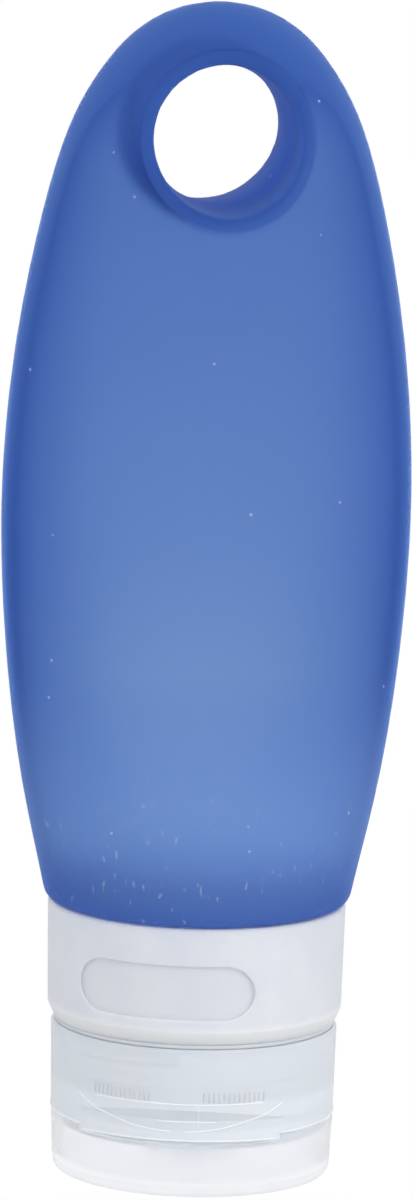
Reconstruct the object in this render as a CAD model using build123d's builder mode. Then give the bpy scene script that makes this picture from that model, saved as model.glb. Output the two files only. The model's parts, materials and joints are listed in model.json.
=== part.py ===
"""Squeezable travel bottle of soft silicone that stands on its flip-top lid.

The bottle stands with its mouth down. From the resting face upwards it is made of a flip-top
lid, a screw-on cap base that holds a slit valve, a threaded neck ring with a blank label band
under a turning outer collar, and the silicone body with a hanging loop through its top.
Units are millimetres. +Z is up, and the origin is the middle of the lid's resting face.
The body's wide side faces -Y. The closure and the collar stand turned about +Z by angles of their own.
"""

import os
from math import cos, hypot, radians, sin

from build123d import *

# Heights of the stack, from the resting face upwards
lid_height = 7.75
seam_gap = 0.3
base_height = 11.25
collar_gap = 0.7
collar_height = 15.0
shoulder_gap = 0.15
body_length = 114.85

# Angles at which the closure and the collar stand on the bottle, in degrees about +Z
closure_turn = -18.5
collar_turn = -25.5

# Silicone body
body_width = 52.7
body_depth = 39.0
body_wall = 2.0
shoulder_radius = 19.4
shoulder_chamfer = 0.6
neck_outer_radius = 13.8
neck_bore_radius = 11.9
lip_radius = 15.0
lip_thickness = 1.45
# Each station of the outer form: share of the body's length, of its half width and of its half depth
body_station_shares = [
    (0.043, 0.777, 1.000),
    (0.104, 0.839, 0.997),
    (0.217, 0.926, 0.966),
    (0.321, 0.975, 0.910),
    (0.434, 0.999, 0.830),
    (0.547, 0.982, 0.740),
    (0.652, 0.930, 0.652),
    (0.748, 0.853, 0.565),
    (0.826, 0.768, 0.489),
    (0.887, 0.667, 0.417),
    (0.930, 0.553, 0.355),
    (0.965, 0.417, 0.277),
    (0.987, 0.270, 0.185),
    (0.997, 0.135, 0.097),
    (1.000, 0.045, 0.033),
]
# The hollow follows the first stations one wall inside, then closes over in a rounded top, given
# as shares of its rise above the last station followed and of its half width and depth there
hollow_station_count = 9
hollow_top_rise = 10.8
hollow_top_shares = [
    (0.400, 0.900, 0.860),
    (0.740, 0.740, 0.640),
    (1.000, 0.540, 0.300),
]

# Hanging loop
loop_below_top = 16.6
loop_radius = 8.9
loop_land = 3.0
loop_flare_share = 0.085
loop_rim_chamfer = 0.6
loop_wall = 2.3

# Threaded neck ring
neck_clearance = 0.1
neck_ring_wall = 1.1
neck_ring_flange_radius = 16.95
neck_ring_flange_thickness = 0.75

# Label band behind the window
label_band_thickness = 1.75
label_band_clearance = 0.1

# Turning outer collar with its window
collar_foot_radius = 18.75
collar_top_radius = 19.0
collar_running_gap = 0.1
collar_lip_radius = 14.2
collar_lip_thickness = 1.2
collar_foot_taper = 0.75
collar_foot_taper_height = 1.65
collar_rim_chamfer = 0.3
collar_bead_reach = 0.3
collar_bead_height = 0.75
window_width = 22.6
window_height = 6.9
window_depth = 0.35
window_rim_chamfer = 0.2
window_below_rim = 8.3

# Cap base
base_foot_radius = 18.05
base_top_radius = 18.25
base_rim_chamfer = 0.35
skirt_bore_radius = 16.3
deck_thickness = 1.65
mouth_seat_gap = 0.1
crown_clearance = 0.25
crown_wall = 1.2
crown_height = 1.9
crown_bead_rise = 0.12
crown_bead_height = 0.6
nozzle_radius = 4.4
nozzle_height = 1.5
nozzle_rim_chamfer = 0.3
orifice_radius = 3.0
valve_port_radius = 4.4
valve_port_depth = 0.9
socket_wall = 1.2
socket_bead_rise = 0.2
socket_bead_height = 0.5

# Thumb recess at the front of the closure
recess_depth = 1.05
recess_half_angle = 47.0
recess_straight_height = 1.9
recess_slope_height = 2.3
thumb_lip_drop = 0.75
thumb_lip_half_angle = 45.0
thumb_lip_side_gap_angle = 1.0

# Slit valve and its retainer
valve_flange_radius = 9.0
valve_flange_thickness = 1.2
valve_clearance = 0.2
valve_seat_gap = 0.1
valve_membrane_radius = 4.2
valve_membrane_thickness = 0.5
valve_dome_rise = 1.2
valve_slit_length = 5.2
valve_slit_width = 0.2
retainer_bore_radius = 5.2
retainer_thickness = 1.4
retainer_clearance = 0.1
retainer_edge_chamfer = 0.3

# Flip-top lid
lid_foot_radius = 17.7
lid_rim_radius = 18.0
lid_wall = 1.3
lid_plate = 1.6
lid_edge_round = 1.2
lid_inner_chamfer = 0.5
plug_clearance = 0.2
plug_wall = 0.9
plug_entry = 1.2
plug_tip_chamfer = 0.3
seal_ring_gap = 0.6
seal_ring_wall = 0.9
seal_ring_height = 2.6

# Snap-in hinge at the back of the closure, with its axis in the seam
hinge_offset = 18.6
knuckle_radius = 1.1
knuckle_relief = 0.25
trunnion_radius = 0.55
trunnion_clearance = 0.05
trunnion_length = 1.2
lid_knuckle_width = 5.8
knuckle_side_gap = 0.2
ear_width = 2.2
web_height = 3.2
web_setback = 0.15

# How far cutting shapes run past what they cut
overrun = 2.0

# Places and sizes that follow from the sizes above
seam_z = lid_height + seam_gap / 2
base_foot_z = lid_height + seam_gap
base_top_z = base_foot_z + base_height
collar_foot_z = base_top_z + collar_gap
collar_top_z = collar_foot_z + collar_height
shoulder_z = collar_top_z + shoulder_gap
body_top_z = shoulder_z + body_length
loop_z = body_top_z - loop_below_top

deck_top_z = base_foot_z + deck_thickness
lip_foot_z = deck_top_z + mouth_seat_gap
lip_top_z = lip_foot_z + lip_thickness
hollow_foot_z = shoulder_z + body_wall

neck_ring_bore_radius = neck_outer_radius + neck_clearance
neck_ring_outer_radius = neck_ring_bore_radius + neck_ring_wall
flange_foot_z = collar_foot_z + collar_bead_height + collar_running_gap
flange_top_z = flange_foot_z + neck_ring_flange_thickness
collar_lip_foot_z = collar_top_z - collar_lip_thickness
neck_ring_top_z = collar_lip_foot_z - collar_running_gap
collar_bore_radius = neck_ring_flange_radius + collar_running_gap
window_z = collar_top_z - window_below_rim

lid_bore_radius = lid_rim_radius - lid_wall
crown_radius = lid_bore_radius - crown_clearance
crown_bore_radius = crown_radius - crown_wall
crown_foot_z = base_foot_z - crown_height
nozzle_foot_z = base_foot_z - nozzle_height

socket_bore_radius = valve_flange_radius + valve_clearance
valve_foot_z = deck_top_z + valve_seat_gap
valve_top_z = valve_foot_z + valve_flange_thickness
retainer_foot_z = valve_top_z + valve_seat_gap
retainer_top_z = retainer_foot_z + retainer_thickness
retainer_radius = socket_bore_radius - retainer_clearance
socket_top_z = retainer_top_z + socket_bead_height + retainer_clearance

plug_radius = orifice_radius - plug_clearance
plug_tip_z = nozzle_foot_z + plug_entry
seal_ring_bore_radius = nozzle_radius + seal_ring_gap

# The recess is turned about an axis behind the closure's own, so that it runs out at its half angle
recess_front_radius = base_foot_radius - recess_depth
recess_end_x = base_foot_radius * sin(radians(recess_half_angle))
recess_end_y = base_foot_radius * cos(radians(recess_half_angle))
recess_axis_shift = (recess_end_x**2 + recess_end_y**2 - recess_front_radius**2) / (
    2 * (recess_front_radius - recess_end_y)
)
recess_radius = recess_front_radius + recess_axis_shift
recess_knee_z = base_foot_z + recess_straight_height
recess_top_z = recess_knee_z + recess_slope_height
thumb_lip_foot_z = base_foot_z - thumb_lip_drop
lid_notch_z = lid_height - thumb_lip_drop

relief_radius = knuckle_radius + knuckle_relief
ear_inner_x = lid_knuckle_width / 2 + knuckle_side_gap
ear_middle_x = ear_inner_x + ear_width / 2
trunnion_hole_radius = trunnion_radius + trunnion_clearance

# Planes of the closure, seen from above and from its side, and of the collar, seen from its front
closure_top = Plane.XY.rotated((0, 0, closure_turn))
closure_side = Plane((0, 0, 0), x_dir=closure_top.y_dir, z_dir=closure_top.x_dir)
collar_top = Plane.XY.rotated((0, 0, collar_turn))
collar_front = Plane((0, 0, 0), x_dir=collar_top.x_dir, z_dir=-collar_top.y_dir)
upright = Plane.XZ


# Silicone body
with BuildPart() as body_hollow:
    with BuildSketch(Plane.XY.offset(hollow_foot_z)):
        Circle(neck_bore_radius)
    first_height_share, first_width_share, first_depth_share = body_station_shares[0]
    with BuildSketch(Plane.XY.offset(shoulder_z + first_height_share * body_length)):
        Ellipse(
            first_width_share * body_width / 2 - body_wall,
            first_depth_share * body_depth / 2 - body_wall,
        )
    loft()
    for height_share, width_share, depth_share in body_station_shares[:hollow_station_count]:
        hollow_half_width = width_share * body_width / 2 - body_wall
        hollow_half_depth = depth_share * body_depth / 2 - body_wall
        hollow_z = shoulder_z + height_share * body_length
        with BuildSketch(Plane.XY.offset(hollow_z)):
            Ellipse(hollow_half_width, hollow_half_depth)
    for rise_share, width_share, depth_share in hollow_top_shares:
        with BuildSketch(Plane.XY.offset(hollow_z + rise_share * hollow_top_rise)):
            Ellipse(width_share * hollow_half_width, depth_share * hollow_half_depth)
    loft()
    with BuildSketch(Plane.XZ.offset(-body_depth / 2)):
        with Locations((0, loop_z)):
            Circle(loop_radius + loop_wall)
    extrude(amount=body_depth, mode=Mode.SUBTRACT)

with BuildPart() as bottle_body:
    with BuildSketch(Plane.XY.offset(shoulder_z)):
        Circle(shoulder_radius)
    for height_share, width_share, depth_share in body_station_shares:
        with BuildSketch(Plane.XY.offset(shoulder_z + height_share * body_length)):
            Ellipse(width_share * body_width / 2, depth_share * body_depth / 2)
    loft()
    shoulder_edge = bottle_body.edges().sort_by(Axis.Z)[0]
    chamfer(shoulder_edge, shoulder_chamfer)
    add(body_hollow.part, mode=Mode.SUBTRACT)

    # Neck with its turned-out lip
    with BuildSketch(upright):
        with BuildLine():
            Polyline(
                (neck_bore_radius, lip_foot_z),
                (lip_radius, lip_foot_z),
                (lip_radius, lip_top_z),
                (neck_outer_radius, lip_top_z),
                (neck_outer_radius, shoulder_z + shoulder_chamfer),
                (neck_bore_radius, shoulder_z + shoulder_chamfer),
                close=True,
            )
        make_face()
    revolve(axis=Axis.Z)
    with BuildSketch(Plane.XY.offset(lip_foot_z)):
        Circle(neck_bore_radius)
    extrude(amount=hollow_foot_z - lip_foot_z + body_wall / 2, mode=Mode.SUBTRACT)

    # Loop, narrowest at a short land in the middle of the body's depth
    loop_reach = body_depth / 2
    loop_mouth_radius = loop_radius + loop_flare_share * (loop_reach - loop_land / 2)
    with BuildSketch(Plane.XY.offset(loop_z)):
        with BuildLine():
            Polyline(
                (0, -loop_reach),
                (loop_mouth_radius, -loop_reach),
                (loop_radius, -loop_land / 2),
                (loop_radius, loop_land / 2),
                (loop_mouth_radius, loop_reach),
                (0, loop_reach),
                close=True,
            )
        make_face()
    revolve(axis=Axis((0, 0, loop_z), (0, 1, 0)), mode=Mode.SUBTRACT)
    loop_rims = bottle_body.edges(Select.LAST).sort_by(SortBy.LENGTH)[-2:]
    chamfer(loop_rims, loop_rim_chamfer)

bottle_body.part.label = "bottle_body"


# Neck ring, pushed over the soft neck and trapped between the lip and the shoulder
with BuildPart() as neck_ring:
    with BuildSketch(upright):
        with BuildLine():
            Polyline(
                (neck_ring_bore_radius, lip_top_z),
                (neck_ring_outer_radius, lip_top_z),
                (neck_ring_outer_radius, flange_foot_z),
                (neck_ring_flange_radius, flange_foot_z),
                (neck_ring_flange_radius, flange_top_z),
                (neck_ring_outer_radius, flange_top_z),
                (neck_ring_outer_radius, neck_ring_top_z),
                (neck_ring_bore_radius, neck_ring_top_z),
                close=True,
            )
        make_face()
    revolve(axis=Axis.Z)

neck_ring.part.label = "neck_ring"


# Label band, standing on the neck ring's flange behind the window
label_band_bore_radius = neck_ring_outer_radius + label_band_clearance
with BuildPart() as label_band:
    with BuildSketch(Plane.XY.offset(flange_top_z)):
        Circle(label_band_bore_radius + label_band_thickness)
        Circle(label_band_bore_radius, mode=Mode.SUBTRACT)
    extrude(amount=neck_ring_top_z - flange_top_z)

label_band.part.label = "label_band"


# Outer collar, with a bead under the flange, a lip over the neck ring and a window recess
with BuildPart() as window_cut:
    with BuildSketch(collar_front):
        with Locations((0, window_z)):
            SlotOverall(window_width, window_height)
    extrude(amount=collar_top_radius + overrun)

with BuildPart() as window_floor:
    with BuildSketch(Plane.XY.offset(collar_foot_z)):
        Circle(collar_foot_radius - window_depth)
    extrude(amount=collar_height)

with BuildPart() as id_collar:
    with BuildSketch(upright) as collar_profile:
        with BuildLine():
            Polyline(
                (collar_bore_radius - collar_bead_reach, collar_foot_z),
                (collar_foot_radius - collar_foot_taper, collar_foot_z),
                (collar_foot_radius, collar_foot_z + collar_foot_taper_height),
                (collar_top_radius, collar_top_z),
                (collar_lip_radius, collar_top_z),
                (collar_lip_radius, collar_lip_foot_z),
                (collar_bore_radius, collar_lip_foot_z),
                (collar_bore_radius, collar_foot_z + collar_bead_height),
                (collar_bore_radius - collar_bead_reach, collar_foot_z + collar_bead_height),
                close=True,
            )
        make_face()
        rim_corner = collar_profile.vertices().group_by(Axis.Y)[-1].sort_by(Axis.X)[-1]
        chamfer(rim_corner, collar_rim_chamfer)
    revolve(axis=Axis.Z)
    add(window_cut.part - window_floor.part, mode=Mode.SUBTRACT)
    window_rim = id_collar.edges(Select.LAST).filter_by(
        lambda edge: hypot((edge @ 0.5).X, (edge @ 0.5).Y) > collar_foot_radius - window_depth / 2
    )
    chamfer(window_rim, window_rim_chamfer)

id_collar.part.label = "id_collar"


# Cap base
with BuildPart() as recess_cut:
    recess_outer_radius = recess_radius + recess_depth + 2 * overrun
    recess_brim_radius = recess_radius + recess_depth + recess_slope_height / 4
    with BuildSketch(closure_side):
        with BuildLine():
            Polyline(
                (recess_axis_shift + recess_radius, thumb_lip_foot_z - overrun),
                (recess_axis_shift + recess_outer_radius, thumb_lip_foot_z - overrun),
                (recess_axis_shift + recess_outer_radius, recess_top_z),
                (recess_axis_shift + recess_brim_radius, recess_top_z),
                (recess_axis_shift + recess_radius, recess_knee_z),
                close=True,
            )
        make_face()
    recess_axis = Axis(closure_side.from_local_coords((recess_axis_shift, 0, 0)), (0, 0, 1))
    revolve(axis=recess_axis)

with BuildPart() as cap_base:
    # Deck with nozzle, snap crown, threaded skirt and valve socket
    with BuildSketch(closure_side) as base_profile:
        with BuildLine():
            Polyline(
                (orifice_radius, nozzle_foot_z),
                (nozzle_radius, nozzle_foot_z),
                (nozzle_radius, base_foot_z),
                (crown_bore_radius, base_foot_z),
                (crown_bore_radius, crown_foot_z),
                (crown_radius, crown_foot_z),
                (crown_radius + crown_bead_rise, crown_foot_z + crown_bead_height / 2),
                (crown_radius, crown_foot_z + crown_bead_height),
                (crown_radius, base_foot_z),
                (base_foot_radius, base_foot_z),
                (base_top_radius, base_top_z),
                (skirt_bore_radius, base_top_z),
                (skirt_bore_radius, deck_top_z),
                (socket_bore_radius + socket_wall, deck_top_z),
                (socket_bore_radius + socket_wall, socket_top_z),
                (socket_bore_radius, socket_top_z),
                (socket_bore_radius - socket_bead_rise, socket_top_z - socket_bead_height / 2),
                (socket_bore_radius, socket_top_z - socket_bead_height),
                (socket_bore_radius, deck_top_z),
                (valve_port_radius, deck_top_z),
                (valve_port_radius, deck_top_z - valve_port_depth),
                (orifice_radius, deck_top_z - valve_port_depth),
                close=True,
            )
        make_face()
        top_corner = base_profile.vertices().group_by(Axis.Y)[-1].sort_by(Axis.X)[-1]
        chamfer(top_corner, base_rim_chamfer)
        nozzle_corner = base_profile.vertices().filter_by(
            lambda corner: abs(corner.X - nozzle_radius) < nozzle_rim_chamfer
            and abs(corner.Y - nozzle_foot_z) < nozzle_rim_chamfer
        )
        chamfer(nozzle_corner, nozzle_rim_chamfer)
    revolve(axis=Axis.Z)

    # Thumb lip that hangs into the lid's notch
    with BuildSketch(closure_top.offset(thumb_lip_foot_z)):
        with BuildLine():
            lip_outer = CenterArc(
                (0, 0), base_foot_radius, -90 - thumb_lip_half_angle, 2 * thumb_lip_half_angle
            )
            lip_inner = CenterArc(
                (0, 0),
                lid_bore_radius,
                -90 - thumb_lip_half_angle,
                2 * thumb_lip_half_angle,
            )
            Line(lip_outer @ 0, lip_inner @ 0)
            Line(lip_outer @ 1, lip_inner @ 1)
        make_face()
    extrude(amount=thumb_lip_drop)
    add(recess_cut.part, mode=Mode.SUBTRACT)

    # Hinge ears with their webs, room for the lid's knuckle, and holes for its trunnions
    for side in (-1, 1):
        with BuildSketch(closure_side.offset(side * ear_middle_x)):
            with BuildLine():
                Polyline(
                    (skirt_bore_radius + lid_wall / 2, base_foot_z + knuckle_radius),
                    (hinge_offset - web_setback, seam_z),
                    (hinge_offset - web_setback, seam_z + web_height),
                    (skirt_bore_radius + lid_wall / 2, seam_z + web_height + lid_wall),
                    close=True,
                )
            make_face()
            with Locations((hinge_offset, seam_z)):
                Circle(knuckle_radius)
        extrude(amount=ear_width / 2, both=True)
    with BuildSketch(closure_side):
        with Locations((hinge_offset, seam_z)):
            Circle(relief_radius)
    extrude(amount=ear_inner_x, both=True, mode=Mode.SUBTRACT)
    with BuildSketch(closure_side):
        with Locations((hinge_offset, seam_z)):
            Circle(trunnion_hole_radius)
    extrude(amount=ear_inner_x + trunnion_length + knuckle_side_gap, both=True, mode=Mode.SUBTRACT)

cap_base.part.label = "cap_base"


# Slit valve: a clamped flange round a domed membrane with crossed slits
with BuildPart() as valve:
    with BuildSketch(upright):
        with BuildLine():
            dome_foot_z = valve_foot_z
            dome_crest_z = valve_foot_z + valve_dome_rise
            lower_dome = RadiusArc(
                (0, dome_crest_z),
                (valve_membrane_radius, dome_foot_z),
                (valve_membrane_radius**2 + valve_dome_rise**2) / (2 * valve_dome_rise),
            )
            Line(lower_dome @ 1, (valve_flange_radius, valve_foot_z))
            Line((valve_flange_radius, valve_foot_z), (valve_flange_radius, valve_top_z))
            Line((valve_flange_radius, valve_top_z), (valve_membrane_radius, valve_top_z))
            Line(
                (valve_membrane_radius, valve_top_z),
                (valve_membrane_radius, dome_foot_z + valve_membrane_thickness),
            )
            upper_dome = RadiusArc(
                (0, dome_crest_z + valve_membrane_thickness),
                (valve_membrane_radius, dome_foot_z + valve_membrane_thickness),
                (valve_membrane_radius**2 + valve_dome_rise**2) / (2 * valve_dome_rise),
            )
            Line(upper_dome @ 0, lower_dome @ 0)
        make_face()
    revolve(axis=Axis.Z)
    with BuildSketch(Plane.XY.offset(valve_foot_z)):
        Rectangle(valve_slit_length, valve_slit_width)
        Rectangle(valve_slit_width, valve_slit_length)
    extrude(amount=valve_dome_rise + 2 * valve_membrane_thickness, mode=Mode.SUBTRACT)

valve.part.label = "valve"


# Ring that snaps into the socket over the valve's flange
with BuildPart() as valve_retainer:
    with BuildSketch(Plane.XY.offset(retainer_foot_z)):
        Circle(retainer_radius)
        Circle(retainer_bore_radius, mode=Mode.SUBTRACT)
    extrude(amount=retainer_thickness)
    chamfer(valve_retainer.edges().filter_by(GeomType.CIRCLE).group_by(Axis.Z)[-1], retainer_edge_chamfer)

valve_retainer.part.label = "valve_retainer"


# Flip-top lid
with BuildPart() as flip_lid:
    with BuildSketch(closure_side) as lid_profile:
        with BuildLine():
            Polyline(
                (0, 0),
                (lid_foot_radius, 0),
                (lid_rim_radius, lid_height),
                (lid_bore_radius, lid_height),
                (lid_bore_radius, lid_plate),
                (0, lid_plate),
                close=True,
            )
        make_face()
        foot_corner = lid_profile.vertices().group_by(Axis.Y)[0].sort_by(Axis.X)[-1]
        fillet(foot_corner, lid_edge_round)
        plate_corner = lid_profile.vertices().filter_by(
            lambda corner: abs(corner.Y - lid_plate) < lid_inner_chamfer and corner.X > lid_bore_radius / 2
        )
        chamfer(plate_corner, lid_inner_chamfer)
    revolve(axis=Axis.Z)

    # Hollow plug for the nozzle, and a ring round the nozzle
    with BuildSketch(closure_top.offset(lid_plate)):
        Circle(plug_radius)
    extrude(amount=plug_tip_z - lid_plate)
    chamfer(flip_lid.edges(Select.LAST).sort_by(Axis.Z)[-1], plug_tip_chamfer)
    with BuildSketch(closure_top.offset(lid_plate)):
        Circle(plug_radius - plug_wall)
    extrude(amount=plug_tip_z - lid_plate, mode=Mode.SUBTRACT)
    with BuildSketch(closure_top.offset(lid_plate)):
        Circle(seal_ring_bore_radius + seal_ring_wall)
        Circle(seal_ring_bore_radius, mode=Mode.SUBTRACT)
    extrude(amount=seal_ring_height)

    # Notch in the rim for the base's thumb lip
    with BuildSketch(closure_top.offset(lid_notch_z)):
        with BuildLine():
            notch_half_angle = thumb_lip_half_angle + thumb_lip_side_gap_angle
            notch_outer = CenterArc(
                (0, 0), lid_rim_radius + overrun, -90 - notch_half_angle, 2 * notch_half_angle
            )
            notch_inner = CenterArc(
                (0, 0), crown_bore_radius, -90 - notch_half_angle, 2 * notch_half_angle
            )
            Line(notch_outer @ 0, notch_inner @ 0)
            Line(notch_outer @ 1, notch_inner @ 1)
        make_face()
    extrude(amount=thumb_lip_drop + overrun, mode=Mode.SUBTRACT)

    # Room for the base's ears, and the knuckle with its web and trunnions
    for side in (-1, 1):
        with BuildSketch(closure_side.offset(side * ear_middle_x)):
            with Locations((hinge_offset, seam_z)):
                Circle(relief_radius)
        extrude(amount=ear_width / 2 + knuckle_side_gap, both=True, mode=Mode.SUBTRACT)
    with BuildSketch(closure_side):
        with BuildLine():
            Polyline(
                (lid_bore_radius + lid_wall / 2, lid_height - knuckle_radius),
                (hinge_offset - web_setback, seam_z),
                (hinge_offset - web_setback, seam_z - web_height),
                (lid_bore_radius + lid_wall / 2, seam_z - web_height - lid_wall),
                close=True,
            )
        make_face()
        with Locations((hinge_offset, seam_z)):
            Circle(knuckle_radius)
    extrude(amount=lid_knuckle_width / 2, both=True)
    with BuildSketch(closure_side):
        with Locations((hinge_offset, seam_z)):
            Circle(trunnion_radius)
    extrude(amount=ear_inner_x + trunnion_length, both=True)

flip_lid.part.label = "flip_lid"


os.makedirs("parts", exist_ok=True)
export_step(bottle_body.part, "parts/bottle_body.step")
export_step(neck_ring.part, "parts/neck_ring.step")
export_step(label_band.part, "parts/label_band.step")
export_step(id_collar.part, "parts/id_collar.step")
export_step(cap_base.part, "parts/cap_base.step")
export_step(valve.part, "parts/valve.step")
export_step(valve_retainer.part, "parts/valve_retainer.step")
export_step(flip_lid.part, "parts/flip_lid.step")
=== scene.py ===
"""The looks of a translucent blue silicone travel bottle that stands on its clear flip-top lid.

All lengths are in metres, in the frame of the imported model: +Z up, the origin in the middle of the
lid's resting face, and the body's wide side towards -Y.
"""

import json
from math import atan2, cos, pi, radians, sin

import bmesh
import bpy
from mathutils import Matrix, Quaternion, Vector
from mathutils.bvhtree import BVHTree


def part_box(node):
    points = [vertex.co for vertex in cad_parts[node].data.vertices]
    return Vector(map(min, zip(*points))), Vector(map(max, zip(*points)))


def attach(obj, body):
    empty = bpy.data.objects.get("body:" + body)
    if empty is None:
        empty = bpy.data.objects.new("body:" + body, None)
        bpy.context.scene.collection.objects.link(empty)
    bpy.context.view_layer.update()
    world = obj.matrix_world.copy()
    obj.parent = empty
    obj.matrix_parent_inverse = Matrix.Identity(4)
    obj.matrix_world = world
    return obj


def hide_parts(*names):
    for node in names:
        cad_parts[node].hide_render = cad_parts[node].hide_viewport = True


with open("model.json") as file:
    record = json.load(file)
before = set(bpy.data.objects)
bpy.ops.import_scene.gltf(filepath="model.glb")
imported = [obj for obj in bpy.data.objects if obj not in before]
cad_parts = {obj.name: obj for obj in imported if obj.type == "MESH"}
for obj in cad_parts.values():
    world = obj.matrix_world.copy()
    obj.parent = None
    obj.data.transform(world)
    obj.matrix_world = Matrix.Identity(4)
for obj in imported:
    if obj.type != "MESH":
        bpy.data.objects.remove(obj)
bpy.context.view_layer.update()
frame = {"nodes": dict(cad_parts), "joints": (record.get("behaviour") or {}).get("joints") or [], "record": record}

MM = 0.001

# Sizes read from the frame
node = frame["nodes"]
collar_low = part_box("id_collar")[0]
base_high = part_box("cap_base")[1]
ring_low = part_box("neck_ring")[0]

record = frame["record"]
mounts = {mount["name"]: mount for mount in record["mounts"]}
joints = {joint["name"]: joint for joint in frame["joints"]}
loop_z = mounts["hang_loop"]["pos_m"][2]
loop_radius = mounts["hang_loop"]["dims"]["r_mm"] * MM
hinge_z = joints["lid_flip"]["pos_m"][2]
closure_right = Vector(joints["lid_flip"]["axis"])
closure_back = Vector((0, 0, 1)).cross(closure_right)
screw_pitch = record["behaviour"]["couplings"][0]["ratio"] * 2 * pi

# Heights and depths between which the silicone's colour or clearness changes
shoulder_span = (33.8 * MM, 46.5 * MM)
scuffed_span = (42.0 * MM, 66.0 * MM)
foot_span = (44.0 * MM, 84.0 * MM)
top_colour_span = (100.0 * MM, 140.0 * MM)
top_milky_span = (112.0 * MM, 142.0 * MM)
tint_foot = 50.0 * MM
tint_height = 75.0 * MM
body_depth_span = (-18.0 * MM, 18.0 * MM)
tunnel_depth_span = (3.5 * MM, 5.5 * MM)
rim_highlight_depth_span = (3.0 * MM, 7.5 * MM)

# Distances from the loop's axis at which its wall and the thick ring round it end
loop_wall_span = (loop_radius + 0.6 * MM, loop_radius + 0.9 * MM)
loop_ring_span = (loop_radius + 2.0 * MM, loop_radius + 2.7 * MM)
loop_inner_limit = loop_radius + 1.7 * MM

# Heights between which the plastics change, the window's rim, and how deep light goes into them
end_plate_span = (1.4 * MM, 1.9 * MM)
recess_top_span = (11.8 * MM, 12.8 * MM)
lifted_collar_foot_span = (21.4 * MM, 22.8 * MM)
window_foot_span = (22.0 * MM, 22.5 * MM)
window_middle_span = (24.0 * MM, 29.0 * MM)
window_rim_rise = 0.1 * MM
flesh_depth = 2.0 * MM

# The silicone skin
weld_distance = 0.01 * MM
skin_grain = 0.75 * MM
skin_smoothings = 6
inner_wall_room = 0.3 * MM
inner_wall_slant = Vector((0.25, 0.15, 0))

# How far from a height a CAD point may be to count for it
level_room = 0.05 * MM

# Thread between the neck ring and the base, whose ridges lie half a pitch apart
thread_height = 0.85 * MM
thread_root_width = 1.25 * MM
thread_crest_width = 0.55 * MM
thread_knee_width = 1.35 * thread_crest_width
thread_knee_share = 0.8
thread_turns = 2
thread_run_out = 0.125
thread_steps_a_turn = 96
thread_sunk = 0.05 * MM
neck_thread_foot = 12.9 * MM

# Bead on the neck ring in the gap between the base and the collar
stop_bead_radius = 17.85 * MM
stop_bead_round = 0.1 * MM
stop_bead_above_base = 0.08 * MM
stop_bead_below_collar = 0.06 * MM
stop_bead_steps = 120

# Small forms moulded on the closure, with angles taken from its front
bead_corners = 8
bead_end_share = 0.4
ratchet_teeth = 21
ratchet_steps_a_tooth = 8
ratchet_height = 0.55 * MM
ratchet_below_rim = 0.9 * MM
ratchet_width = 0.35 * MM
rib_count = 13
rib_width = 0.22 * MM
rib_shares = (0.0, 0.15, 0.85, 1.0)
rib_first_angle = radians(11.0)
rib_spacing = radians(2.1)
rib_foot = 12.5 * MM
rib_top = 13.9 * MM
edge_width = 0.22 * MM
brim_height = 12.25 * MM
brim_half_angle = radians(37.0)
scoop_first_angle = 0.04
scoop_half_angle = radians(46.0)
scoop_foot = 8.45 * MM
scoop_rise = 3.6 * MM
scoop_bend = 2.2
ledge_height = 9.75 * MM
ledge_angles = (radians(-8.0), radians(17.0))
mould_line_angle = radians(9.0)
mould_line_width = 0.14 * MM
mould_line_step = 0.5 * MM
mould_line_points = 8
seam_gap = 0.3 * MM
seam_edge_room = 0.02 * MM
lip_drop = 0.75 * MM
lip_width = 0.26 * MM
lip_steps = 60
lip_half_angle = radians(44.7)
hinge_half_angle = radians(19.0)

# Light and floor
around_strength = 0.74
floor_size = 3.0
floor_white_share = 0.97
lamps = (
    ("key", (-0.45, -0.75, 0.55), 0.5, 2.6),
    ("fill", (0.7, -0.55, 0.35), 0.6, 2.4),
)
lamp_aim = Vector((0, 0, 0.07))


class Wire:
    """One output of a material's node tree, with arithmetic written as Python expressions."""

    def __init__(self, paint, socket):
        self.paint = paint
        self.socket = socket

    def calc(self, operation, *others, turned=False):
        terms = [*others, self] if turned else [self, *others]
        made = self.paint.node("Math", {"operation": operation}, dict(enumerate(terms)))
        return made.out()

    def __add__(self, other):
        return self.calc("ADD", other)

    def __mul__(self, other):
        return self.calc("MULTIPLY", other)

    def __sub__(self, other):
        return self.calc("SUBTRACT", other)

    def __rsub__(self, other):
        return self.calc("SUBTRACT", other, turned=True)

    def __truediv__(self, other):
        return self.calc("DIVIDE", other)

    def __pow__(self, other):
        return self.calc("POWER", other)

    __radd__ = __add__
    __rmul__ = __mul__

    def size(self):
        return self.calc("ABSOLUTE")

    def least(self, other):
        return self.calc("MINIMUM", other)

    def most(self, other):
        return self.calc("MAXIMUM", other)

    def step(self, start, end):
        """Rises smoothly from 0 at start to 1 at end."""
        ranged = self.paint.node(
            "MapRange",
            {"interpolation_type": "SMOOTHSTEP"},
            {"Value": self, "From Min": start, "From Max": end},
        )
        return ranged.out("Result")


class Made:
    """A node that was just made, whose outputs are asked for as wires."""

    def __init__(self, paint, inner):
        self.paint = paint
        self.inner = inner

    def out(self, name=0):
        return Wire(self.paint, self.inner.outputs[name])


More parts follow.
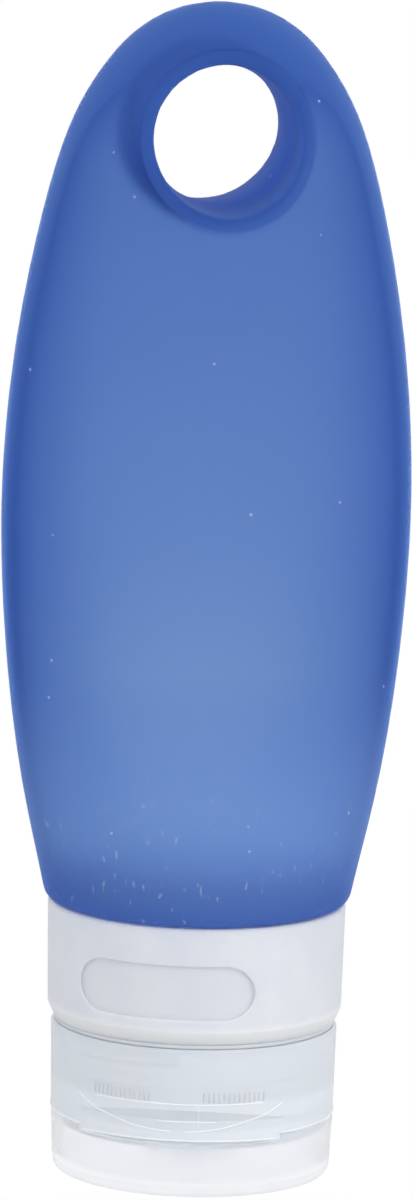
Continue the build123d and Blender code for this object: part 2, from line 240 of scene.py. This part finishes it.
class Paint:
    """A material's node tree, with one method that makes any node."""

    def __init__(self, name):
        self.material = bpy.data.materials.new(name)
        self.material.use_nodes = True
        self.tree = self.material.node_tree
        self.tree.nodes.clear()
        place = self.node("TexCoord").out("Object")
        self.place = place
        split = self.node("SeparateXYZ", {}, {"Vector": place})
        self.x, self.y, self.z = split.out("X"), split.out("Y"), split.out("Z")

    def node(self, kind, settings={}, inputs={}):
        inner = self.tree.nodes.new("ShaderNode" + kind)
        for name, value in settings.items():
            setattr(inner, name, value)
        for name, value in inputs.items():
            if isinstance(value, Wire):
                self.tree.links.new(value.socket, inner.inputs[name])
            else:
                inner.inputs[name].default_value = value
        return Made(self, inner)

    def mix(self, share, first, second):
        """A colour between two colours."""
        mixer = self.node(
            "Mix", {"data_type": "RGBA"}, {"Factor": share, 6: first, 7: second}
        )
        return mixer.out(2)

    def noise(self, scale, detail=2.0, stretch=(1, 1, 1)):
        """Noise of so many waves a metre, stretched along the axes."""
        mapped = self.node("Mapping", {}, {"Vector": self.place, "Scale": stretch})
        inputs = {"Vector": mapped.out(), "Scale": scale, "Detail": detail}
        return self.node("TexNoise", {}, inputs).out("Fac")

    def cells(self, scale):
        """Scattered points, so many a metre, as the distance from the nearest and its random colour."""
        return self.node("TexVoronoi", {}, {"Vector": self.place, "Scale": scale})

    def bump(self, height, depth, strength):
        inputs = {"Height": height, "Distance": depth, "Strength": strength}
        return self.node("Bump", {}, inputs).out()

    def finish(self, shader, depth=None):
        output = self.node("OutputMaterial")
        self.tree.links.new(shader.socket, output.inner.inputs["Surface"])
        if depth:
            self.tree.links.new(depth.socket, output.inner.inputs["Volume"])
        return self.material


def linear(red, green, blue):
    """A colour given in the 0 to 255 of a picture, as light."""
    parts = []
    for value in (red, green, blue):
        share = value / 255
        parts.append(share / 12.92 if share <= 0.04045 else ((share + 0.055) / 1.055) ** 2.4)
    return (*parts, 1.0)


def soft_silicone():
    """Translucent blue silicone that takes more colour from light the further it goes through it."""
    p = Paint("soft_blue_silicone")
    cloud = p.noise(55.0, 3.0).step(0.35, 0.75)
    rise = ((p.z - tint_foot) / tint_height).most(0.0).least(1.0)
    near_foot = 1 - p.z.step(*foot_span)
    from_loop = (p.x**2 + (p.z - loop_z) ** 2) ** 0.5
    in_loop = 1 - from_loop.step(*loop_wall_span)
    loop_rim_highlight = in_loop * p.y.size().step(*rim_highlight_depth_span)
    loop_ring = 1 - from_loop.step(*loop_ring_span)
    inner = p.node("Attribute", {"attribute_name": "inner_wall"}).out("Fac")

    dots = p.cells(420.0)
    lot = p.node("SeparateXYZ", {}, {"Vector": dots.out("Color")}).out("X")
    specks = (1 - dots.out("Distance").step(0.05, 0.12)) * lot.step(0.905, 0.915)
    scuff_noise = p.noise(1700.0, 3.0, (1.0, 1.0, 0.4))
    scuffs = scuff_noise.step(0.64, 0.72) * (1 - p.z.step(*scuffed_span)) * 0.45
    dust = specks.most(scuffs)

    parting_line = (1 - p.y.size().step(0.04 * MM, 0.16 * MM)) * 1.6
    relief = p.bump(p.noise(2600.0, 2.0) + parting_line, 0.02 * MM, 0.35)
    rough = 0.38 + 0.08 * p.noise(240.0, 3.0)
    # Painted light: above the shoulder, near the foot, the milky share is painted a lighter blue that lifts the
    # shade there.
    foot_light_colour = p.mix(p.z.step(*shoulder_span), linear(92, 131, 218), linear(128, 167, 232))
    colour = p.mix(p.z.step(*top_colour_span), linear(87, 128, 219), linear(90, 132, 220))
    colour = p.mix(near_foot, colour, foot_light_colour)
    colour = p.mix(loop_ring, colour, linear(66, 102, 177))
    tunnel = in_loop * (1 - p.y.size().step(*tunnel_depth_span))
    colour = p.mix(tunnel, colour, linear(61, 111, 203))
    # Painted highlight: the loop's rims are painted paler, a highlight on the front rim and light coming through
    # the thin back edge.
    colour = p.mix(loop_rim_highlight * 0.3, colour, linear(112, 154, 232))
    soft = {
        "Base Color": p.mix(dust * 0.8, colour, linear(215, 225, 245)),
        "Roughness": rough,
        "IOR": 1.41,
        "Specular IOR Level": 0.03,
        "Normal": relief,
    }
    # Painted shade: the clear lobe's tint is painted deeper where the surface turns sideways from the wide faces,
    # darkening the body's narrow sides.
    facing = p.node("SeparateXYZ", {}, {"Vector": p.node("TexCoord").out("Normal")}).out("Y").size()
    sides = 1 - facing.step(0.72, 0.99)
    low_tint = p.mix(sides, linear(234, 243, 249), linear(214, 225, 241))
    high_tint = p.mix(sides, linear(194, 210, 234), linear(178, 194, 227))
    clear = {
        "Base Color": p.mix(rise * 0.95 + cloud * 0.05, low_tint, high_tint),
        "Roughness": rough + 0.25,
        "IOR": 1.06,
        "Transmission Weight": 1.0,
        "Normal": relief,
    }
    foot_milky = near_foot * (0.72 - p.y.step(*body_depth_span) * 0.28)
    top_milky = p.z.step(*top_milky_span) * 0.43
    milky_share = top_milky.most(foot_milky).most(loop_ring * 0.8).most(0.27)
    turned_back = p.node("BsdfPrincipled", {}, soft).out()
    let_through = p.node("BsdfTranslucent", {}, {"Color": linear(104, 146, 226)}).out()
    milky = p.node("MixShader", {}, {"Fac": 0.35, 1: turned_back, 2: let_through}).out()
    glassy = p.node("BsdfPrincipled", {}, clear).out()
    glassy_share = ((1 - milky_share) * (1 - dust * 0.6)).most(inner)
    shader = p.node("MixShader", {}, {"Fac": glassy_share, 1: milky, 2: glassy})
    depth = p.node("VolumeAbsorption", {}, {"Color": (0.04, 0.36, 0.74, 1.0), "Density": 240.0})
    return p.finish(shader.out(), depth.out())


def plain_zones(p):
    """No zones: the plastic is the same all over."""
    return ()


def collar_zones(p):
    """The sunk window's floor is a little lighter and bluer, partly from the band behind it and partly as painted
    light against the recess's shade, and the collar's foot is painted paler as painted light against the shade
    under it.
    """
    across = (p.x**2 + p.y**2) ** 0.5
    in_floor = 1 - across.step(window_floor, window_floor + window_rim_rise)
    sunk = in_floor * p.z.step(*window_foot_span)
    foot = 1 - p.z.step(*lifted_collar_foot_span)
    return (
        # Painted light: the window floor is lifted a little against the recess's shade, and the collar's foot is
        # lifted against the shade under it.
        ("tint", sunk * 0.5, linear(228, 232, 242)),
        ("tint", foot, linear(240, 245, 255)),
    )


def base_zones(p):
    """The base is milkier round its recess than above it."""
    return (("clear_share", 1 - p.z.step(*recess_top_span), 0.3),)


def lid_zones(p):
    """The lid's end plate is thicker than its wall, and looks deeper in colour."""
    end_plate = 1 - p.z.step(*end_plate_span)
    return (
        ("tint", end_plate, linear(222, 226, 236)),
        ("glass_tint", end_plate, linear(240, 243, 250)),
    )


def milky_plastic(name, tint, glass_tint, clear_share, inside, roughness, zones=plain_zones):
    """Milky polypropylene with flow marks. A share of it lets light through, and a share spreads it.

    Each zone names the value that it changes, its share of the surface and what the value becomes.
    """
    p = Paint(name)
    look = {"tint": tint, "glass_tint": glass_tint, "clear_share": clear_share}
    for part, share, changed in zones(p):
        if part == "clear_share":
            look[part] = share * (changed - look[part]) + look[part]
        else:
            look[part] = p.mix(share, look[part], changed)
    flow_marks = p.noise(140.0, 3.0, (1.0, 1.0, 0.6)).step(0.3, 0.8) * 0.35
    rough = roughness + 0.08 * p.noise(320.0, 2.0)
    relief = p.bump(p.noise(1800.0, 2.0), 0.01 * MM, 0.25)
    milky = {
        "Base Color": p.mix(flow_marks, look["tint"], linear(250, 251, 253)),
        "Roughness": rough,
        "IOR": 1.49,
        "Subsurface Weight": inside,
        "Subsurface Radius": (1.0, 1.0, 1.0),
        "Subsurface Scale": flesh_depth,
        "Normal": relief,
    }
    clear = {
        "Base Color": p.mix(flow_marks, look["glass_tint"], linear(252, 253, 255)),
        "Roughness": rough + 0.18,
        "IOR": 1.14,
        "Transmission Weight": 1.0,
        "Normal": relief,
    }
    turned_back = p.node("BsdfPrincipled", {}, milky).out()
    let_through = p.node("BsdfPrincipled", {}, clear).out()
    shader = p.node("MixShader", {}, {"Fac": look["clear_share"], 1: turned_back, 2: let_through})
    return p.finish(shader.out())


def soft_valve():
    """Whitish silicone of the slit valve."""
    p = Paint("valve_white_silicone")
    cloud = p.noise(300.0, 2.0)
    colour = p.mix(cloud, linear(222, 226, 232), linear(236, 238, 242))
    look = {
        "Base Color": colour,
        "Roughness": 0.5,
        "Subsurface Weight": 0.3,
        "Subsurface Scale": flesh_depth,
    }
    return p.finish(p.node("BsdfPrincipled", {}, look).out())


def give(piece, material):
    """Puts one material on the whole of a piece."""
    piece.data.materials.clear()
    piece.data.materials.append(material)


def smooth_all(mesh):
    mesh.polygons.foreach_set("use_smooth", [True] * len(mesh.polygons))
    mesh.update()


def applied(piece):
    """The mesh of a piece with its modifiers worked in."""
    shown = piece.evaluated_get(bpy.context.evaluated_depsgraph_get())
    mesh = bpy.data.meshes.new_from_object(shown)
    piece.modifiers.clear()
    piece.data = mesh
    return mesh


def surface_of(mesh):
    """A mesh as a surface that rays can meet."""
    points = [point.co for point in mesh.vertices]
    return BVHTree.FromPolygons(points, [face.vertices for face in mesh.polygons])


def mark_inner_wall(mesh):
    """Marks the skin's points that face the hollow, where no light is turned back."""
    surface = surface_of(mesh)
    marks = []
    for point in mesh.vertices:
        start = point.co + point.normal * inner_wall_room
        met = surface.ray_cast(start, point.normal + inner_wall_slant)[0] is not None
        from_loop = (point.co.x**2 + (point.co.z - loop_z) ** 2) ** 0.5
        marks.append(float(met and from_loop > loop_inner_limit))
    mesh.attributes.new("inner_wall", "FLOAT", "POINT").data.foreach_set("value", marks)


def silicone_skin():
    """The bottle's soft skin, worked over from its solid with rims that are softly rounded."""
    source = node["bottle_body"].data.copy()
    form = bmesh.new()
    form.from_mesh(source)
    bmesh.ops.remove_doubles(form, verts=form.verts, dist=weld_distance)
    form.to_mesh(source)
    form.free()
    skin = bpy.data.objects.new("silicone_skin", source)
    bpy.context.scene.collection.objects.link(skin)
    remesh = skin.modifiers.new("even", "REMESH")
    remesh.mode = "VOXEL"
    remesh.voxel_size = skin_grain
    remesh.use_smooth_shade = True
    smooth = skin.modifiers.new("soften", "SMOOTH")
    smooth.factor = 0.5
    smooth.iterations = skin_smoothings
    mesh = applied(skin)
    smooth_all(mesh)
    mark_inner_wall(mesh)
    give(skin, silicone)
    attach(skin, "bottle")
    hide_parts("bottle_body")


collar_radii = [
    point.co.xy.length
    for point in node["id_collar"].data.vertices
    if window_middle_span[0] < point.co.z < window_middle_span[1]
]
collar_middle = (min(collar_radii) + max(collar_radii)) / 2
window_floor = min(radius for radius in collar_radii if radius > collar_middle)

silicone = soft_silicone()
frosted = milky_plastic(
    "frosted_plastic",
    tint=linear(224, 227, 235),
    glass_tint=linear(240, 242, 250),
    clear_share=0.15,
    inside=0.4,
    roughness=0.42,
)
# A lighter, bluer copy of the frosted plastic for the stop bead: painted light that lifts the shade in the gap
# below the collar.
painted_light_stop_plastic = milky_plastic(
    "painted_light_stop_plastic",
    tint=linear(243, 247, 255),
    glass_tint=linear(247, 250, 255),
    clear_share=0.35,
    inside=0.0,
    roughness=0.42,
)
# Near-white plastic for the beads along the base's brim, scoop, ledge, lip and mould line: the beads are real
# edges, and their whiteness is a painted highlight along them.
edge_highlight_plastic = milky_plastic(
    "edge_highlight_plastic",
    tint=linear(247, 249, 254),
    glass_tint=linear(254, 254, 255),
    clear_share=0.1,
    inside=0.0,
    roughness=0.3,
)
windowed = milky_plastic(
    "frosted_collar_plastic",
    tint=linear(226, 230, 239),
    glass_tint=linear(242, 244, 252),
    clear_share=0.15,
    inside=0.9,
    roughness=0.42,
    zones=collar_zones,
)
satin = milky_plastic(
    "satin_cap_plastic",
    tint=linear(242, 248, 255),
    glass_tint=linear(247, 251, 255),
    clear_share=0.4,
    inside=0.0,
    roughness=0.26,
    zones=base_zones,
)
clear = milky_plastic(
    "clear_lid_plastic",
    tint=linear(251, 253, 255),
    glass_tint=linear(254, 254, 255),
    clear_share=0.95,
    inside=0.0,
    roughness=0.14,
    zones=lid_zones,
)
give(node["id_collar"], windowed)
give(node["neck_ring"], frosted)
give(node["label_band"], frosted)
give(node["cap_base"], satin)
give(node["valve_retainer"], satin)
give(node["flip_lid"], clear)
give(node["valve"], soft_valve())
silicone_skin()


def closure_point(angle, radius, height):
    """A point at an angle from the closure's front towards its right."""
    away = closure_right * sin(angle) - closure_back * cos(angle)
    return away * radius + Vector((0, 0, height))


def closure_angle(point):
    """The angle of a point from the closure's front towards its right, from 0 to a full turn."""
    return atan2(point.dot(closure_right), -point.dot(closure_back)) % (2 * pi)


def radius_near(piece, height, choose):
    """The smallest or largest radius of a CAD piece's points at a height."""
    points = [point.co for point in node[piece].data.vertices]
    return choose(point.xy.length for point in points if abs(point.z - height) < level_room)


def spun(profile, turns, steps, rise=0.0):
    """A closed profile of radii and heights, spun about the bottle's axis from the closure's front.

    With a rise for each turn it becomes a screw with closed ends, and without one a ring.
    """
    form = bmesh.new()
    corners = [form.verts.new(closure_point(0, radius, height)) for radius, height in profile]
    sides = [form.edges.new(pair) for pair in zip(corners, corners[1:] + corners[:1])]
    made = bmesh.ops.spin(
        form,
        geom=corners + sides,
        cent=(0, 0, 0),
        axis=(0, 0, 1),
        dvec=(0, 0, rise * turns / steps),
        angle=2 * pi * turns,
        steps=steps,
        use_merge=not rise,
    )
    if rise:
        far = [part for part in made["geom_last"] if isinstance(part, bmesh.types.BMEdge)]
        bmesh.ops.edgeloop_fill(form, edges=sides + far)
    return form


def bead(form, route, width, closed=False):
    """Adds a round bead along a route of points, each given with the direction it stands off in."""
    last = len(route) - 1
    rings = []
    for index, (point, away) in enumerate(route):
        before = route[index - 1 if closed else max(index - 1, 0)][0]
        after = route[(index + 1) % len(route) if closed else min(index + 1, last)][0]
        along = (after - before).normalized()
        side = along.cross(away).normalized()
        slim = 1.0 if closed or 0 < index < last else bead_end_share
        turned = Matrix((away, side, along)).transposed().to_4x4()
        circle = bmesh.ops.create_circle(
            form,
            segments=bead_corners,
            radius=width / 2 * slim,
            matrix=Matrix.Translation(point) @ turned,
        )
        rings.append(list(dict.fromkeys(edge for dot in circle["verts"] for edge in dot.link_edges)))
    for first, second in zip(rings, rings[1:]):
        bmesh.ops.bridge_loops(form, edges=first + second)
    if closed:
        bmesh.ops.bridge_loops(form, edges=rings[-1] + rings[0])
    else:
        bmesh.ops.edgeloop_fill(form, edges=rings[0] + rings[-1])


def formed(name, form, body, material):
    """Makes a piece of a form, with its faces turned outwards.

    The operator leaves the faces of a long screw turned inwards, a known fault.
    """
    bmesh.ops.recalc_face_normals(form, faces=form.faces)
    mesh = bpy.data.meshes.new(name)
    form.to_mesh(mesh)
    form.free()
    smooth_all(mesh)
    piece = bpy.data.objects.new(name, mesh)
    bpy.context.scene.collection.objects.link(piece)
    give(piece, material)
    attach(piece, body)


def thread(name, root, crest, foot, body, material):
    """A right-hand thread from its root radius to its crest radius, running out at both ends."""
    crest_half = thread_crest_width / 2
    root_half = thread_root_width / 2
    knee = root + (crest - root) * thread_knee_share
    knee_half = thread_knee_width / 2
    profile = (
        (root, foot - root_half),
        (knee, foot - knee_half),
        (crest, foot - crest_half),
        (crest, foot + crest_half),
        (knee, foot + knee_half),
        (root, foot + root_half),
    )
    form = spun(profile, thread_turns, thread_steps_a_turn * thread_turns, screw_pitch)
    for point in form.verts:
        around = closure_angle(point.co) / (2 * pi)
        turn = around + round((point.co.z - foot) / screw_pitch - around)
        shown = max(0.0, min(1.0, turn / thread_run_out, (thread_turns - turn) / thread_run_out))
        radius = point.co.xy.length
        point.co.xy = point.co.xy * ((root + (radius - root) * shown) / radius)
    formed(name, form, body, material)


def thread_pair():
    """The neck ring's outer thread, and the base's inner thread that runs between its turns."""
    ring_radius = radius_near("neck_ring", ring_low.z, max)
    bore_radius = radius_near("cap_base", base_high.z, min)
    inner_foot = neck_thread_foot + screw_pitch / 2
    thread(
        "neck_thread",
        ring_radius - thread_sunk,
        ring_radius + thread_height,
        neck_thread_foot,
        "bottle",
        frosted,
    )
    thread(
        "cap_thread",
        bore_radius + thread_sunk,
        bore_radius - thread_height,
        inner_foot - screw_pitch,
        "closure",
        satin,
    )


def stop_bead():
    """The bead on the neck ring that the closure comes up to, which fills the gap below the collar."""
    root = radius_near("neck_ring", ring_low.z, max) - thread_sunk
    foot = base_high.z + stop_bead_above_base
    top = collar_low.z - stop_bead_below_collar
    profile = (
        (root, foot),
        (stop_bead_radius - stop_bead_round, foot),
        (stop_bead_radius, foot + stop_bead_round),
        (stop_bead_radius, top - stop_bead_round),
        (stop_bead_radius - stop_bead_round, top),
        (root, top),
    )
    form = spun(profile, 1, stop_bead_steps)
    formed("stop_bead", form, "bottle", painted_light_stop_plastic)


def ratchet_edge():
    """Slanting teeth round the inside of the base's rim, which hold the screwed closure tight."""
    radius = radius_near("cap_base", base_high.z, min)
    steps = ratchet_teeth * ratchet_steps_a_tooth
    route = []
    for index in range(steps):
        angle = 2 * pi * index / steps
        share = (index % ratchet_steps_a_tooth) / (ratchet_steps_a_tooth - 1)
        height = base_high.z - ratchet_below_rim - ratchet_height * share**2
        route.append((closure_point(angle, radius, height), closure_point(angle, -1, 0)))
    form = bmesh.new()
    bead(form, route, ratchet_width, closed=True)
    formed("ratchet_edge", form, "closure", frosted)


def base_forms():
    """Ribs, brim, scoop edges, ledge, lip and mould line on the front of the base; all but the ribs are near
    white, as painted highlight lines along real edges.
    """
    surface = surface_of(node["cap_base"].data)

    def on_base(angle, height):
        start = closure_point(angle, 2 * base_high.x, height)
        return surface.ray_cast(start, closure_point(angle, -1, 0))[:2]

    def across(first, last, height_at, steps=40):
        angles = [first + (last - first) * index / steps for index in range(steps + 1)]
        return [on_base(angle, height_at(angle)) for angle in angles]

    ribs = bmesh.new()
    for side in (-1, 1):
        for index in range(rib_count):
            angle = side * (rib_first_angle + rib_spacing * index)
            heights = [rib_foot + (rib_top - rib_foot) * share for share in rib_shares]
            bead(ribs, [on_base(angle, height) for height in heights], rib_width)
    formed("grip_ribs", ribs, "closure", frosted)

    edges = bmesh.new()
    bead(edges, across(-brim_half_angle, brim_half_angle, lambda angle: brim_height), edge_width)
    bead(edges, across(*ledge_angles, lambda angle: ledge_height), edge_width)
    for side in (-1, 1):
        scoop = across(
            side * scoop_first_angle,
            side * scoop_half_angle,
            lambda angle: scoop_foot + scoop_rise * abs(angle / scoop_half_angle) ** scoop_bend,
        )
        bead(edges, scoop, edge_width)
    base_foot = hinge_z + seam_gap / 2 + seam_edge_room
    for first, last, height in (
        (-lip_half_angle, lip_half_angle, base_foot - lip_drop),
        (lip_half_angle, pi - hinge_half_angle, base_foot),
        (hinge_half_angle - pi, -lip_half_angle, base_foot),
    ):
        bead(edges, across(first, last, lambda angle: height, lip_steps), lip_width)
    mould_line = [
        on_base(mould_line_angle, scoop_foot + mould_line_step * index)
        for index in range(mould_line_points)
    ]
    bead(edges, mould_line, mould_line_width)
    formed("recess_edges", edges, "closure", edge_highlight_plastic)


thread_pair()
stop_bead()
ratchet_edge()
base_forms()


def plain_floor():
    """A pale floor that throws light back at the bottle.

    The camera looks through it at the white world, so it hides nothing of an unscrewed closure.
    """
    form = bmesh.new()
    bmesh.ops.create_grid(form, x_segments=1, y_segments=1, size=floor_size)
    mesh = bpy.data.meshes.new("floor")
    form.to_mesh(mesh)
    form.free()
    floor = bpy.data.objects.new("floor", mesh)
    bpy.context.scene.collection.objects.link(floor)
    p = Paint("pale_floor")
    rays = p.node("LightPath")
    mirrored = rays.out("Is Glossy Ray").most(rays.out("Is Transmission Ray"))
    matte = p.node("BsdfDiffuse", {}, {"Color": (0.85, 0.85, 0.85, 1.0)}).out()
    white = p.node("Emission", {}, {"Color": (1.0, 1.0, 1.0, 1.0), "Strength": 1.0}).out()
    table = p.node("MixShader", {}, {"Fac": mirrored * floor_white_share, 1: matte, 2: white}).out()
    unseen = p.node("BsdfTransparent").out()
    shader = p.node("MixShader", {}, {"Fac": rays.out("Is Camera Ray"), 1: table, 2: unseen}).out()
    give(floor, p.finish(shader))


def studio_light():
    """An even white surround, with a broad lamp at the front left and one at the front right."""
    world = bpy.data.worlds.new("studio")
    bpy.context.scene.world = world
    world.use_nodes = True
    tree = world.node_tree
    tree.nodes.clear()
    rays = tree.nodes.new("ShaderNodeLightPath")
    glossy_or_through = tree.nodes.new("ShaderNodeMath")
    glossy_or_through.operation = "MAXIMUM"
    tree.links.new(rays.outputs["Is Glossy Ray"], glossy_or_through.inputs[0])
    tree.links.new(rays.outputs["Is Transmission Ray"], glossy_or_through.inputs[1])
    seen = tree.nodes.new("ShaderNodeMath")
    seen.operation = "MAXIMUM"
    tree.links.new(rays.outputs["Is Camera Ray"], seen.inputs[0])
    tree.links.new(glossy_or_through.outputs[0], seen.inputs[1])
    around = tree.nodes.new("ShaderNodeBackground")
    around.inputs["Color"].default_value = (1, 1, 1, 1)
    around.inputs["Strength"].default_value = around_strength
    white = tree.nodes.new("ShaderNodeBackground")
    white.inputs["Color"].default_value = (1, 1, 1, 1)
    choose = tree.nodes.new("ShaderNodeMixShader")
    output = tree.nodes.new("ShaderNodeOutputWorld")
    tree.links.new(seen.outputs[0], choose.inputs[0])
    tree.links.new(around.outputs[0], choose.inputs[1])
    tree.links.new(white.outputs[0], choose.inputs[2])
    tree.links.new(choose.outputs[0], output.inputs["Surface"])

    for name, place, size, power in lamps:
        lamp = bpy.data.lights.new(name, "AREA")
        lamp.shape = "DISK"
        lamp.size = size
        lamp.energy = power
        holder = bpy.data.objects.new(name, lamp)
        holder.location = place
        aim = lamp_aim - Vector(place)
        holder.rotation_euler = aim.to_track_quat("-Z", "Y").to_euler()
        bpy.context.scene.collection.objects.link(holder)


def photograph_camera():
    """The camera at the photograph's place, with the small roll that makes the bottle lean."""
    azimuth = radians(-12.3)
    elevation = radians(10.3)
    roll = radians(1.45)
    distance = 1.2
    target = Vector((0.0002, 0, 0.0737))
    back = Vector((sin(azimuth) * cos(elevation), -cos(azimuth) * cos(elevation), sin(elevation)))
    camera = bpy.data.cameras.new("camera")
    camera.sensor_width = 36.0
    camera.lens = 284.0
    holder = bpy.data.objects.new("camera", camera)
    holder.location = target + back * distance
    turn = (-back).to_track_quat("-Z", "Y") @ Quaternion((0, 0, 1), roll)
    holder.rotation_euler = turn.to_euler()
    bpy.context.scene.collection.objects.link(holder)
    bpy.context.scene.camera = holder


plain_floor()
studio_light()
photograph_camera()
bpy.context.scene.view_settings.view_transform = "Standard"

bpy.context.view_layer.update()
